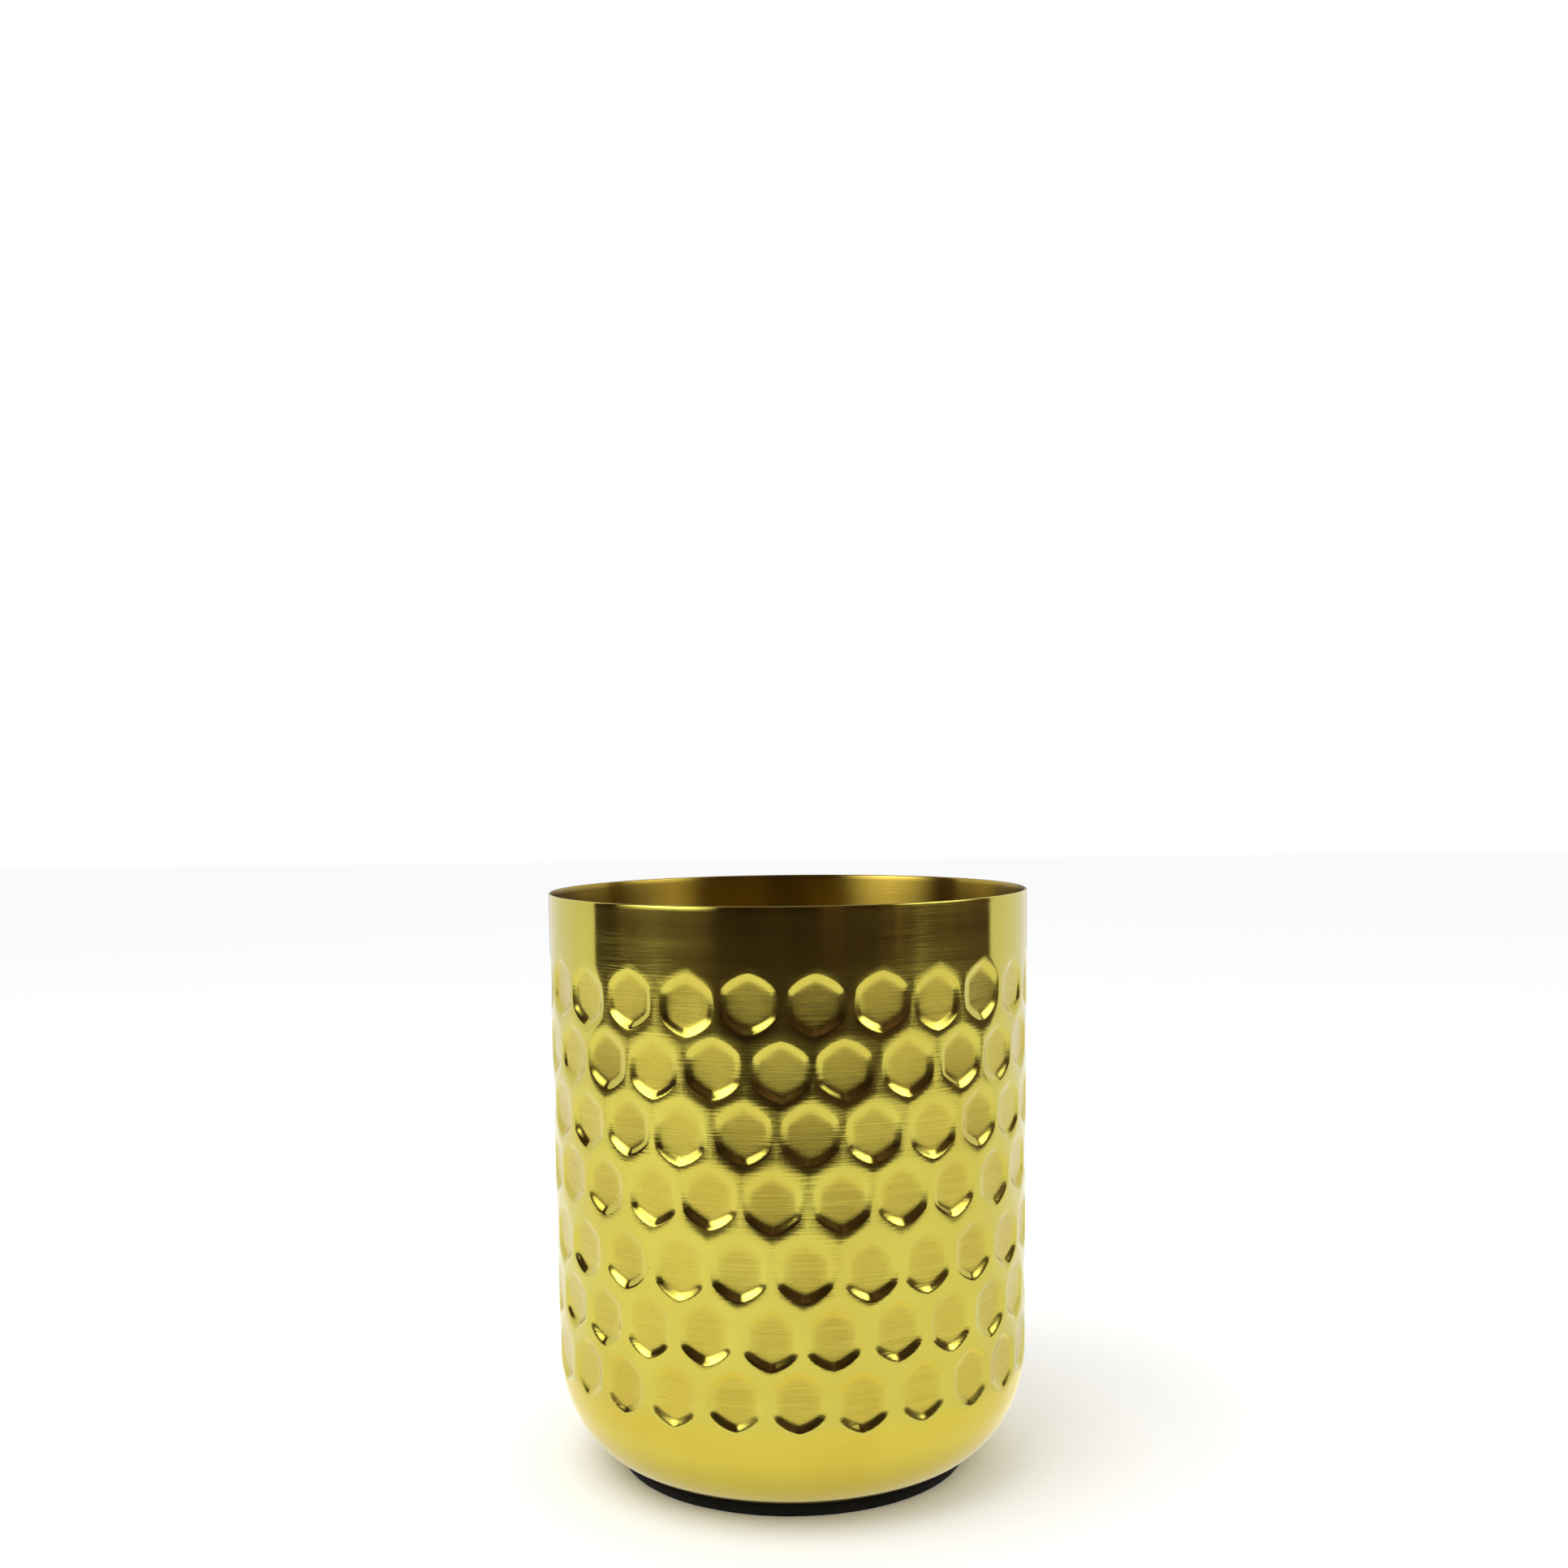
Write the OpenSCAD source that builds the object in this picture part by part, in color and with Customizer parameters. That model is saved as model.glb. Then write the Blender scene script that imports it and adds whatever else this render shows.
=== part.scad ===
// Brass planter pot with rows of pressed hexagonal dimples.
//
// The pot stands on Z = 0 and opens upwards along +Z. Its axis is the Z axis and -Y is its
// front. It is one piece of spun brass sheet that stands on a black felt disc, and a film of
// adhesive holds the disc to the pot's flat bottom.

/* [Pot] */
// Outside diameter of the pot at its rim
rim_d = 160; // [110:1:230]
// Height from the surface that the pot stands on to its rim
pot_h = 188.5; // [120:0.5:260]
// How much narrower across the pot is at the foot of its wall than at its rim
wall_taper = 4.5; // [0:0.5:10]
// Thickness of the brass sheet
sheet_t = 0.8; // [0.6:0.1:1.5]
// Width of the bevel that takes the sharpness off both edges of the rim
rim_bevel = 0.25; // [0.1:0.05:0.25]

/* [Bottom curve] */
// How far the bottom curve comes in from the wall to the flat bottom
curve_w = 28; // [18:0.5:34]
// How high the bottom curve rises from the flat bottom to the wall
curve_h = 36; // [24:0.5:46]

/* [Dimples] */
// Width of a dimple across its flats, as it would be in a flat sheet
dimple_w = 17.5; // [13:0.1:24]
// Width of the flat floor of a dimple across its flats
floor_w = 12.4; // [8:0.1:12.8]
// Depth of a dimple at its middle
dimple_depth = 1.4; // [0.8:0.1:2]
// Least width of the plain strip between two dimples of one row
side_ridge = 1.9; // [1.2:0.1:5]
// Width of the plain strip between the slanting sides of dimples in neighbouring rows
slant_ridge = 4.1; // [1.5:0.1:8]
// Height of the plain band between the rim and the top row of dimples
rim_band = 19.1; // [8:0.1:30]
// How many rows there are in the upper group
upper_rows = 4; // [2:1:6]
// How much further apart the two groups of rows are than the rows of one group
group_gap = 1.9; // [0:0.1:5]
// How far each row creeps round the pot, in degrees, beyond the half step that staggers it
row_creep = -0.72; // [-3:0.02:3]
// Where the middle dimple of the top row is, in degrees round from the front
first_dimple = 5.7; // [-7:0.1:7]
// How far a dimple may stray from its true place, because the pot is fed to the press by hand
hand_drift = 0.5; // [0:0.1:0.8]

/* [Foot pad] */
// How far the felt pad reaches past the flat bottom, under the start of the bottom curve
pad_reach = 7.5; // [0:0.1:10]
// Thickness of the felt pad
pad_t = 2.5; // [1.5:0.1:5]
// Thickness of the adhesive film between the pad and the pot
film_t = 0.2; // [0.1:0.05:0.5]
// Plain margin between the edge of the film and the edge of the pot's flat bottom
film_margin = 2.5; // [1:0.5:8]

/* [Hidden] */
$fn = 96;

// Levels and radii that several pieces share.
bottom_z = pad_t + film_t;
rim_r = rim_d / 2;
wall_foot_r = (rim_d - wall_taper) / 2;
wall_foot_z = bottom_z + curve_h;
flat_r = wall_foot_r - curve_w;
curve_steps = 18;

// As many dimples as fit side by side round the foot of the wall, its narrowest part.
dimples_per_row = floor(2 * PI * wall_foot_r / (dimple_w + side_ridge));
dimple_step = 360 / dimples_per_row;
dimple_spacing = 2 * PI * wall_foot_r / dimples_per_row;
dimple_h = dimple_w / cos(30);
// As many rows as fit between the plain band and the foot of the wall.
row_pitch = (dimple_w + slant_ridge - dimple_spacing / 4) / cos(30);
top_row_z = pot_h - rim_band - dimple_h / 2;
row_count = 1 + floor((top_row_z - wall_foot_z - group_gap) / row_pitch);
// How far each cutter stands out past the wall, so that it cuts cleanly.
cutter_proud = 1;
// Dimples stray in a wave. These are its turns from one dimple to the next, in degrees.
stray_turn_round = 97.3;
stray_turn_up = 151.7;

// The radius of the wall's outside at a height, less an inset for the wall's inside.
function wall_r(z, inset) =
    wall_foot_r + (rim_r - wall_foot_r) * (z - wall_foot_z) / (pot_h - wall_foot_z) - inset;

// Points up the bottom curve, a quarter of an ellipse from the flat bottom to the wall.
function curve_points(inset) =
    [for (i = [0 : curve_steps])
        let (a = 90 * i / curve_steps)
        [flat_r + (curve_w - inset) * sin(a), wall_foot_z - (curve_h - inset) * cos(a)]];

// How far a dimple strays, either way along the direction that the turn belongs to.
function stray(row, i, turn) = hand_drift * sin(turn * (i + row * dimples_per_row));

// The height of a row's middle.
function row_z(row) = top_row_z - row * row_pitch - (row < upper_rows ? 0 : group_gap);

// A solid of revolution with the pot's outline, inset by a distance, up to a given top. From
// the foot of the rim's bevel its side leans by 45 degrees: inwards for the pot's outside,
// with a lean of -1, and outwards for its inside, with a lean of 1.
module pot_body(inset, lean, top) {
    bevel_z = pot_h - rim_bevel;
    bevel_r = wall_r(bevel_z, inset);
    rotate_extrude()
        polygon(concat(
            [[0, bottom_z + inset]],
            curve_points(inset),
            [[bevel_r, bevel_z], [bevel_r + lean * (top - bevel_z), top], [0, top]]));
}

// The shape of one dimple: a hexagonal frustum with corners at its top and its bottom. It
// lies along +X and its floor is dimple_depth inside the wall.
module dimple(z, inset) {
    length = dimple_depth + cutter_proud;
    floor_r = floor_w / 2 / cos(30);
    flare = (dimple_w - floor_w) / 2 / cos(30) * length / dimple_depth;
    translate([wall_r(z, inset) - dimple_depth, 0, z])
        rotate([0, 90, 0])
            cylinder(h = length, r1 = floor_r, r2 = floor_r + flare, $fn = 6);
}

// Every dimple. The rows are staggered by half a step, and the whole pattern creeps round.
module dimple_field(inset) {
    for (row = [0 : row_count - 1], i = [0 : dimples_per_row - 1]) {
        stagger = (row % 2) * dimple_step / 2 + row * row_creep;
        stray_angle = stray(row, i, stray_turn_round) / wall_foot_r * 180 / PI;
        rotate([0, 0, first_dimple - 90 + stagger + i * dimple_step + stray_angle])
            dimple(row_z(row) + stray(row, i, stray_turn_up), inset);
    }
}

// The spun brass pot. Each dimple is pressed in from outside, so it stands out as a boss inside.
module pot_shell() {
    color([0.83, 0.78, 0.33])
        difference() {
            difference() {
                pot_body(0, -1, pot_h);
                dimple_field(0);
            }
            difference() {
                pot_body(sheet_t, 1, pot_h + cutter_proud);
                dimple_field(sheet_t);
            }
        }
}

// The felt disc that the pot stands on.
module base_pad() {
    color([0.07, 0.07, 0.08])
        cylinder(h = pad_t, r = flat_r + pad_reach);
}

// The adhesive film between the felt disc and the pot's flat bottom.
module pad_adhesive() {
    color([0.85, 0.83, 0.75])
        translate([0, 0, pad_t])
            cylinder(h = film_t, r = flat_r - film_margin);
}

pot_shell();
base_pad();
pad_adhesive();
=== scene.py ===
"""Builds the finished look of a brass planter pot round its CAD frame.

The pot is a brass sheet with rows of hexagonal dimples. Its mesh is made as the real one is:
one dimple is drawn flat, a Geometry Nodes tree lays out the rows side by side on the flat
sheet, and the tree then rolls the sheet up round the pot's axis, down the pot's section.
"""

import math

import bpy
from bpy.props import FloatProperty, FloatVectorProperty, IntProperty, PointerProperty
from mathutils import Matrix, Vector, noise


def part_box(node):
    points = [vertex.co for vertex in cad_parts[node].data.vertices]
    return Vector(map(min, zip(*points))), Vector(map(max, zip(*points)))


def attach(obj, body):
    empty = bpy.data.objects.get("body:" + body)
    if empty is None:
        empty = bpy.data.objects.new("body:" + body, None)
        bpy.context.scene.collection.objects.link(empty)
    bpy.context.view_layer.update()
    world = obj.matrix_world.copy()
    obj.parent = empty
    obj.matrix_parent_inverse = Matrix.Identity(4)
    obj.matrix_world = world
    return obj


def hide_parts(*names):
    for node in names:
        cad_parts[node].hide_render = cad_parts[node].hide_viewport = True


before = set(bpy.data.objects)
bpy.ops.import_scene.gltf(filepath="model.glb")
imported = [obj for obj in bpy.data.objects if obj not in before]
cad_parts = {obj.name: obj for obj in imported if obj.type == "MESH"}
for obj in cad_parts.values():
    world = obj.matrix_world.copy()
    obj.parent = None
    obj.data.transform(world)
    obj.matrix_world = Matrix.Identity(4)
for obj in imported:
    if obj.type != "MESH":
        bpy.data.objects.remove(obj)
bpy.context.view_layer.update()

bl_info = {
    "name": "Brass planter pot",
    "version": (1, 0, 0),
    "blender": (4, 5, 0),
    "location": "3D View > Sidebar > Planter",
    "description": "Makes a spun brass planter pot with pressed hexagonal dimples",
    "category": "Add Mesh",
}

MM = 0.001
SHELL_LOW, SHELL_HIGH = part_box("pot_shell")
PAD_LOW, PAD_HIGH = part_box("base_pad")
# The CAD rim is a circle of many short sides, so its box is a hair narrower than the rim.
RIM_ACROSS = round(SHELL_HIGH.x - SHELL_LOW.x, 3)
BODY = "root"


# ---------------------------------------------------------------------------------------
# Sizes and colours that a user would change
# ---------------------------------------------------------------------------------------


def length(name, description, default):
    """A length in metres, shown to a tenth of a millimetre."""
    return FloatProperty(
        name=name,
        description=description,
        default=default,
        precision=4,
        unit="LENGTH",
        subtype="DISTANCE",
    )


def angle(name, description, degrees):
    """An angle, kept in radians."""
    return FloatProperty(
        name=name,
        description=description,
        default=math.radians(degrees),
        unit="ROTATION",
        subtype="ANGLE",
    )


def hex_colour(code):
    """Turns an sRGB hex colour such as "D5CB4F" into linear red, green and blue."""
    shares = [int(code[i : i + 2], 16) / 255 for i in (0, 2, 4)]
    return tuple(s / 12.92 if s <= 0.04045 else ((s + 0.055) / 1.055) ** 2.4 for s in shares)


def colour(name, description, code):
    """A colour picked as an sRGB hex value."""
    return FloatVectorProperty(
        name=name,
        description=description,
        default=hex_colour(code),
        size=3,
        min=0,
        max=1,
        subtype="COLOR",
    )


class PlanterSizes(bpy.types.PropertyGroup):
    """Sizes of the pot and its pad. The overall ones come from the CAD frame."""

    rim_diameter: length("Rim diameter", "Across the outside of the rim", RIM_ACROSS)
    rim_height: length("Rim height", "From the table to the rim", SHELL_HIGH.z)
    bottom_height: length("Bottom height", "From the table to the underside of the brass", SHELL_LOW.z)
    wall_taper: length("Wall taper", "How much narrower the wall's foot is than the rim", 4.5 * MM)
    sheet: length("Sheet thickness", "Thickness of the brass sheet", 0.8 * MM)
    curve_width: length("Bottom curve width", "From the wall in to the flat bottom", 28 * MM)
    curve_height: length("Bottom curve height", "From the flat bottom up to the wall", 36 * MM)
    dimple_width: length("Dimple width", "Across the flats of a dimple's outer edge", 17.5 * MM)
    floor_width: length("Dimple floor", "Across the flats of a dimple's floor", 12.4 * MM)
    dimple_depth: length("Dimple depth", "From the plain wall to a dimple's floor", 1.25 * MM)
    side_ridge: length("Side ridge", "Least plain strip between two dimples of a row", 1.9 * MM)
    slant_ridge: length("Slant ridge", "Plain strip between the slanting sides of two rows", 4.1 * MM)
    rim_band: length("Rim band", "Plain band between the rim and the first row", 19.1 * MM)
    upper_rows: IntProperty(name="Upper rows", description="Rows in the upper group", default=4, min=1)
    group_gap: length("Group gap", "Extra plain strip between the two groups of rows", 1.9 * MM)
    row_creep: angle("Row creep", "How far each row creeps round the pot", -0.72)
    first_dimple: angle("First dimple", "How far the first dimple is from the front", 5.7)
    hand_drift: length("Hand drift", "How far a dimple may stray from its true place", 0.5 * MM)
    press_lean: angle("Press lean", "How far a dimple's floor may lean", 2.2)
    press_droop: angle("Press droop", "How far every dimple's floor faces downwards", 2.0)
    depth_change: length("Depth change", "How much deeper or shallower a dimple may be", 0.06 * MM)
    pad_diameter: length("Pad diameter", "Across the felt pad", 2 * PAD_HIGH.x)
    pad_thickness: length("Pad thickness", "Thickness of the felt pad", PAD_HIGH.z - PAD_LOW.z)


class PlanterColours(bpy.types.PropertyGroup):
    """Colours of the pot's finishes."""

    brass: colour("Brass", "Lacquered brass", "C6BA50")
    # Mixed in at random where the lacquer is thicker, and on the dimple floors as painted shade.
    brass_lacquer_and_painted_shade: colour("Brass shade", "Brass where the lacquer is thicker", "BB9D3C")
    # The inside colours are darker than the outside's: painted shade inside the pot.
    inside: colour("Inside", "Brass inside the pot, which isn't polished", "B49B42")
    inside_dull_and_painted_shade: colour("Inside shade", "Dull patches inside the pot", "8A7231")
    felt: colour("Felt", "Pressed felt", "0C0A0A")
    felt_fibre: colour("Felt fibre", "Single fibres that catch the light", "262322")
    tape: colour("Tape", "Double-sided adhesive film", "D9D3BE")
    floor: colour("Table", "Pale table top", "FAFAFA")


class StudioSizes(bpy.types.PropertyGroup):
    """Where the camera stands."""

    distance: length("Camera distance", "From the pot's axis to the camera", 595 * MM)
    height: length("Camera height", "From the table to the camera", 227.5 * MM)
    offset: length("Camera offset", "How far the camera is to the side", -0.8 * MM)
    tilt: angle("Camera tilt", "How far the camera looks down", 0.36)
    roll: angle("Camera roll", "How far the camera leans over sideways", -0.64)
    lens: FloatProperty(name="Lens", description="Focal length in millimetres", default=40.5)


# ---------------------------------------------------------------------------------------
# Small helpers
# ---------------------------------------------------------------------------------------


def add(tree, kind, *values, links=None, **settings):
    """Adds a node with its settings.

    The values go to its inputs in order, and the links to inputs by name. Each is a number,
    an object or a colour to set, or a socket or node to link, a node by its first output.
    """
    made = tree.nodes.new(kind)
    for key, value in settings.items():
        setattr(made, key, value)
    for key, value in (*enumerate(values), *(links or {}).items()):
        if isinstance(value, bpy.types.Node):
            value = value.outputs[0]
        if isinstance(value, bpy.types.NodeSocket):
            tree.links.new(value, made.inputs[key])
        else:
            made.inputs[key].default_value = value
    return made


def mesh_object(name, points, faces):
    """A new mesh object at the origin."""
    mesh = bpy.data.meshes.new(name)
    mesh.from_pydata(points, [], faces)
    mesh.update()
    made = bpy.data.objects.new(name, mesh)
    bpy.context.scene.collection.objects.link(made)
    return made


def ring_faces(rings, around, first):
    """Faces that join a number of rings of points, each to the ring before it.

    around is how many points a ring has, and first is the number of the first ring's first.
    """
    faces = []
    for inner in range(first, first + (rings - 1) * around, around):
        outer = inner + around
        for k in range(around):
            after = (k + 1) % around
            faces.append((inner + k, outer + k, outer + after, inner + after))
    return faces


def drop(*objects):
    """Removes helper objects that only served to make a piece."""
    for one in objects:
        bpy.data.objects.remove(one)


# ---------------------------------------------------------------------------------------
# The pot's layout, worked out from its sizes as the CAD model works it out
# ---------------------------------------------------------------------------------------


class Layout:
    """Where everything is on the pot and on the flat sheet that it is rolled from."""

    def __init__(self, pot):
        self.pot = pot
        self.rim_r = pot.rim_diameter / 2
        self.foot_r = self.rim_r - pot.wall_taper / 2
        self.foot_z = pot.bottom_height + pot.curve_height
        self.flat_r = self.foot_r - pot.curve_width
        self.columns = math.floor(math.tau * self.foot_r / (pot.dimple_width + pot.side_ridge))
        self.spacing = math.tau * self.foot_r / self.columns
        slant = pot.dimple_width + pot.slant_ridge - self.spacing / 4
        self.pitch = slant / math.cos(math.radians(30))
        half_dimple = pot.dimple_width / 2 / math.cos(math.radians(30))
        top_row_z = pot.rim_height - pot.rim_band - half_dimple
        self.rows = 1 + math.floor((top_row_z - self.foot_z - pot.group_gap) / self.pitch)
        # The flat sheet starts in the middle of the rim's rounded edge.
        self.edge_round = math.pi / 4 * pot.sheet
        self.top_row = self.edge_round + pot.rim_height - pot.sheet / 2 - top_row_z
        # A cell's corners are as far from its own dimple as from the two beside it.
        self.tip = (self.pitch**2 + (self.spacing / 2) ** 2) / (2 * self.pitch)
        self.shoulder = self.pitch - self.tip

    def section(self, side):
        """Points from the rim down one face of the sheet to the middle of the bottom.

        side is 1 for the outside and -1 for the inside. Each point is (radius, height).
        """
        pot = self.pot
        half = pot.sheet / 2
        inset = half - side * half
        rim_steps, wall_steps, curve_steps, bottom_steps = 8, 60, 240, 40
        rim_middle = (self.rim_r - half, pot.rim_height - half)
        rim = [
            (rim_middle[0] + side * half * math.sin(a), rim_middle[1] + half * math.cos(a))
            for a in (math.radians(90) * k / rim_steps for k in range(rim_steps + 1))
        ]
        top = rim[-1]
        foot = (self.foot_r - inset, self.foot_z)
        wall = [
            (top[0] + (foot[0] - top[0]) * k / wall_steps, top[1] + (foot[1] - top[1]) * k / wall_steps)
            for k in range(1, wall_steps)
        ]
        curve = [
            (
                self.flat_r + (pot.curve_width - inset) * math.cos(a),
                self.foot_z - (pot.curve_height - inset) * math.sin(a),
            )
            for a in (math.radians(90) * k / curve_steps for k in range(curve_steps + 1))
        ]
        bottom = [
            (self.flat_r * (1 - k / bottom_steps), pot.bottom_height + inset)
            for k in range(1, bottom_steps + 1)
        ]
        return rim + wall + curve + bottom

    def section_length(self, side):
        """Length of the section from the middle of the rim's edge to the axis."""
        points = self.section(side)
        return sum(math.dist(a, b) for a, b in zip(points, points[1:]))


def section_curve(name, points):
    """The section as a curve that the Geometry Nodes tree follows."""
    data = bpy.data.curves.new(name, "CURVE")
    data.dimensions = "3D"
    line = data.splines.new("POLY")
    line.points.add(len(points) - 1)
    for spot, (radius, height) in zip(line.points, points):
        spot.co = (radius, 0, height, 1)
    made = bpy.data.objects.new(name, data)
    bpy.context.scene.collection.objects.link(made)
    return made


# ---------------------------------------------------------------------------------------
# One dimple and the plain strips above and below the pattern, drawn flat
# ---------------------------------------------------------------------------------------

SIDE_STEPS = 5  # points along each side of a dimple
ROUND_SIZE = 1.05  # radius of the circle that a dimple is eased towards, to its own reach


def hexagon(corners, steps=SIDE_STEPS):
    """Points all the way round a hexagon, with a number of steps to each side."""
    return [
        corners[side].lerp(corners[(side + 1) % 6], k / steps)
        for side in range(6)
        for k in range(steps)
    ]


def dimple_outline(reach, roundness):
    """A regular hexagon, corner up, whose sides are at a distance, eased towards a circle."""
    corners = [
        Vector((math.cos(a), math.sin(a))) * reach / math.cos(math.radians(30))
        for a in (math.radians(90 + 60 * k) for k in range(6))
    ]
    return [p.lerp(p.normalized() * reach * ROUND_SIZE, roundness) for p in hexagon(corners)]


def cell_outline(layout):
    """The cell that a dimple has to itself, which the cells beside it share."""
    half = layout.spacing / 2
    return hexagon(
        [
            Vector((0, layout.tip)),
            Vector((-half, layout.shoulder)),
            Vector((-half, -layout.shoulder)),
            Vector((0, -layout.tip)),
            Vector((half, -layout.shoulder)),
            Vector((half, layout.shoulder)),
        ]
    )


def dimple_tile(name, layout, rings):
    """One dimple with its cell. Its depth is its Z, positive into the pot.

    Each ring is (distance from the middle to its sides, share of the depth, roundness).
    The attribute "held" is 1 where the press holds the metal and 0 on the cell's outline.
    """
    pot = layout.pot
    points = [(0, 0, pot.dimple_depth)]
    for reach, share, roundness in rings:
        for p in dimple_outline(reach, roundness):
            flat = p.x**2 / (2 * layout.foot_r)
            points.append((p.x, p.y, share * (pot.dimple_depth - flat)))
    points += [(p.x, p.y, 0) for p in cell_outline(layout)]
    around = 6 * SIDE_STEPS
    faces = [(0, 1 + k, 1 + (k + 1) % around) for k in range(around)]
    faces += ring_faces(len(rings) + 1, around, 1)
    tile = mesh_object(name, points, faces)
    held = tile.data.attributes.new("held", "FLOAT", "POINT")
    for k in range(len(points) - around):
        held.data[k].value = 1
    return tile


def strip_tile(name, layout, edge, levels):
    """A plain strip one cell wide, from an edge of the pattern to the last of its levels.

    edge is 1 for the strip above the pattern and -1 for the one below it.
    """
    outline = cell_outline(layout)
    upper = outline[-SIDE_STEPS:] + outline[: SIDE_STEPS + 1]
    border = sorted((-p.x, edge * p.y) for p in upper)
    rows = [border] + [[(x, y) for x, _ in border] for y in levels]
    points = [(x, y, 0) for row in rows for x, y in row]
    wide = len(border)
    faces = []
    for row in range(len(rows) - 1):
        for k in range(wide - 1):
            near = row * wide + k
            far = near + wide
            loop = (near, near + 1, far + 1, far)
            faces.append(loop if edge > 0 else loop[::-1])
    return mesh_object(name, points, faces)


# ---------------------------------------------------------------------------------------
# Geometry Nodes: repeat the dimples on the flat sheet and roll the sheet up
# ---------------------------------------------------------------------------------------

# Dimples stray in a wave, as in the CAD model. These are its turns from one to the next.
STRAY_TURNS = (math.radians(97.3), math.radians(151.7))
MERGE = 0.02 * MM  # points nearer than this become one
# The kinds of node that the trees use most.
MATH, VECTOR = "ShaderNodeMath", "ShaderNodeVectorMath"
JOIN_XYZ, SPLIT_XYZ = "ShaderNodeCombineXYZ", "ShaderNodeSeparateXYZ"
NAMED, STORE = "GeometryNodeInputNamedAttribute", "GeometryNodeStoreNamedAttribute"


def sheet_tree():
    """The tree that lays out one face of the sheet and rolls it up."""
    tree = bpy.data.node_groups.new("Rolled dimpled sheet", "GeometryNodeTree")
    for name, kind in (
        ("Dimple", "Object"),
        ("Upper strip", "Object"),
        ("Lower strip", "Object"),
        ("Section", "Object"),
        ("Inside", "Bool"),
        ("Columns", "Int"),
        ("Rows", "Int"),
        ("Upper rows", "Int"),
        ("Spacing", "Float"),
        ("Row pitch", "Float"),
        ("Group gap", "Float"),
        ("Creep", "Float"),
        ("Start", "Float"),
        ("Top row", "Float"),
        ("Depth", "Float"),
        ("Drift", "Float"),
        ("Lean", "Float"),
        ("Droop", "Float"),
        ("Depth change", "Float"),
        ("Seed", "Int"),
    ):
        tree.interface.new_socket(name, in_out="INPUT", socket_type="NodeSocket" + kind)
    tree.interface.new_socket("Mesh", in_out="OUTPUT", socket_type="NodeSocketGeometry")
    given = add(tree, "NodeGroupInput").outputs
    index = add(tree, "GeometryNodeInputIndex")

    def repeated(tile, count, row, column):
        """Puts a tile at each of a number of cells. Every other row is half a cell along."""
        odd = add(tree, MATH, row, 2.0, operation="MODULO")
        stagger = add(tree, MATH, odd, 0.5, operation="MULTIPLY")
        across = add(tree, MATH, column, stagger, operation="ADD")
        across = add(tree, MATH, across, given["Spacing"], operation="MULTIPLY")
        down = add(tree, MATH, row, given["Row pitch"], operation="MULTIPLY")
        down = add(tree, MATH, down, -1.0, operation="MULTIPLY")
        middle = add(tree, JOIN_XYZ, across, down)
        points = add(tree, "GeometryNodePoints", count, middle)
        for name, value, kind in (("middle", middle, "FLOAT_VECTOR"), ("number", index, "INT")):
            stored = {"Name": name, "Value": value}
            made = add(tree, STORE, data_type=kind, domain="POINT", links=stored)
            tree.links.new(points.outputs[0], made.inputs["Geometry"])
            points = made
        shape = add(tree, "GeometryNodeObjectInfo", tile).outputs["Geometry"]
        return add(tree, "GeometryNodeInstanceOnPoints", links={"Points": points, "Instance": shape})

    # The strips go on from the first row upwards and from the last row downwards.
    columns = given["Columns"]
    row = add(tree, MATH, add(tree, MATH, index, columns, operation="DIVIDE"), operation="FLOOR")
    before = add(tree, MATH, row, columns, operation="MULTIPLY")
    column = add(tree, MATH, index, before, operation="SUBTRACT")
    total = add(tree, MATH, given["Rows"], columns, operation="MULTIPLY")
    last_row = add(tree, MATH, given["Rows"], 1.0, operation="SUBTRACT")
    joined = add(tree, "GeometryNodeJoinGeometry")
    for part in (
        repeated(given["Dimple"], total, row, column),
        repeated(given["Upper strip"], columns, 0.0, index),
        repeated(given["Lower strip"], columns, last_row, index),
    ):
        tree.links.new(part.outputs[0], joined.inputs[0])
    sheet = add(tree, "GeometryNodeRealizeInstances", joined)
    sheet = add(tree, "GeometryNodeMergeByDistance", sheet, links={"Distance": MERGE})

    def slanted(place):
        """Slants the rows by their creep, and parts the two groups smoothly over one row."""
        parts = add(tree, SPLIT_XYZ, place).outputs
        rows_down = add(tree, MATH, parts["Y"], given["Row pitch"], operation="DIVIDE")
        rows_down = add(tree, MATH, rows_down, -1.0, operation="MULTIPLY")
        creep = add(tree, MATH, rows_down, given["Creep"], operation="MULTIPLY")
        gap = add(
            tree,
            "ShaderNodeMapRange",
            rows_down,
            add(tree, MATH, given["Upper rows"], 1.0, operation="SUBTRACT"),
            given["Upper rows"],
            0.0,
            given["Group gap"],
            interpolation_type="SMOOTHSTEP",
        )
        across = add(tree, MATH, parts["X"], creep, operation="ADD")
        down = add(tree, MATH, parts["Y"], gap, operation="SUBTRACT")
        return add(tree, JOIN_XYZ, across, down, parts["Z"])

    # The press holds each dimple's shape and shifts it a little, and the ridges give way.
    place = add(tree, "GeometryNodeInputPosition")
    middle = add(tree, NAMED, "middle", data_type="FLOAT_VECTOR")
    number = add(tree, NAMED, "number", data_type="INT")
    held = add(tree, NAMED, "held", data_type="FLOAT")
    local = add(tree, VECTOR, place, middle, operation="SUBTRACT")
    stray = [
        add(tree, MATH, add(tree, MATH, number, turn, operation="MULTIPLY"), operation="SINE")
        for turn in STRAY_TURNS
    ]
    stray = add(tree, JOIN_XYZ, *stray)
    stray = add(tree, VECTOR, stray, operation="SCALE", links={"Scale": given["Drift"]})
    pressed = add(tree, VECTOR, slanted(middle), local, operation="ADD")
    pressed = add(tree, VECTOR, pressed, stray, operation="ADD")
    flat = add(tree, "ShaderNodeMix", held, data_type="VECTOR", links={4: slanted(place), 5: pressed})
    flat = add(tree, SPLIT_XYZ, flat.outputs[1]).outputs

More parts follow.
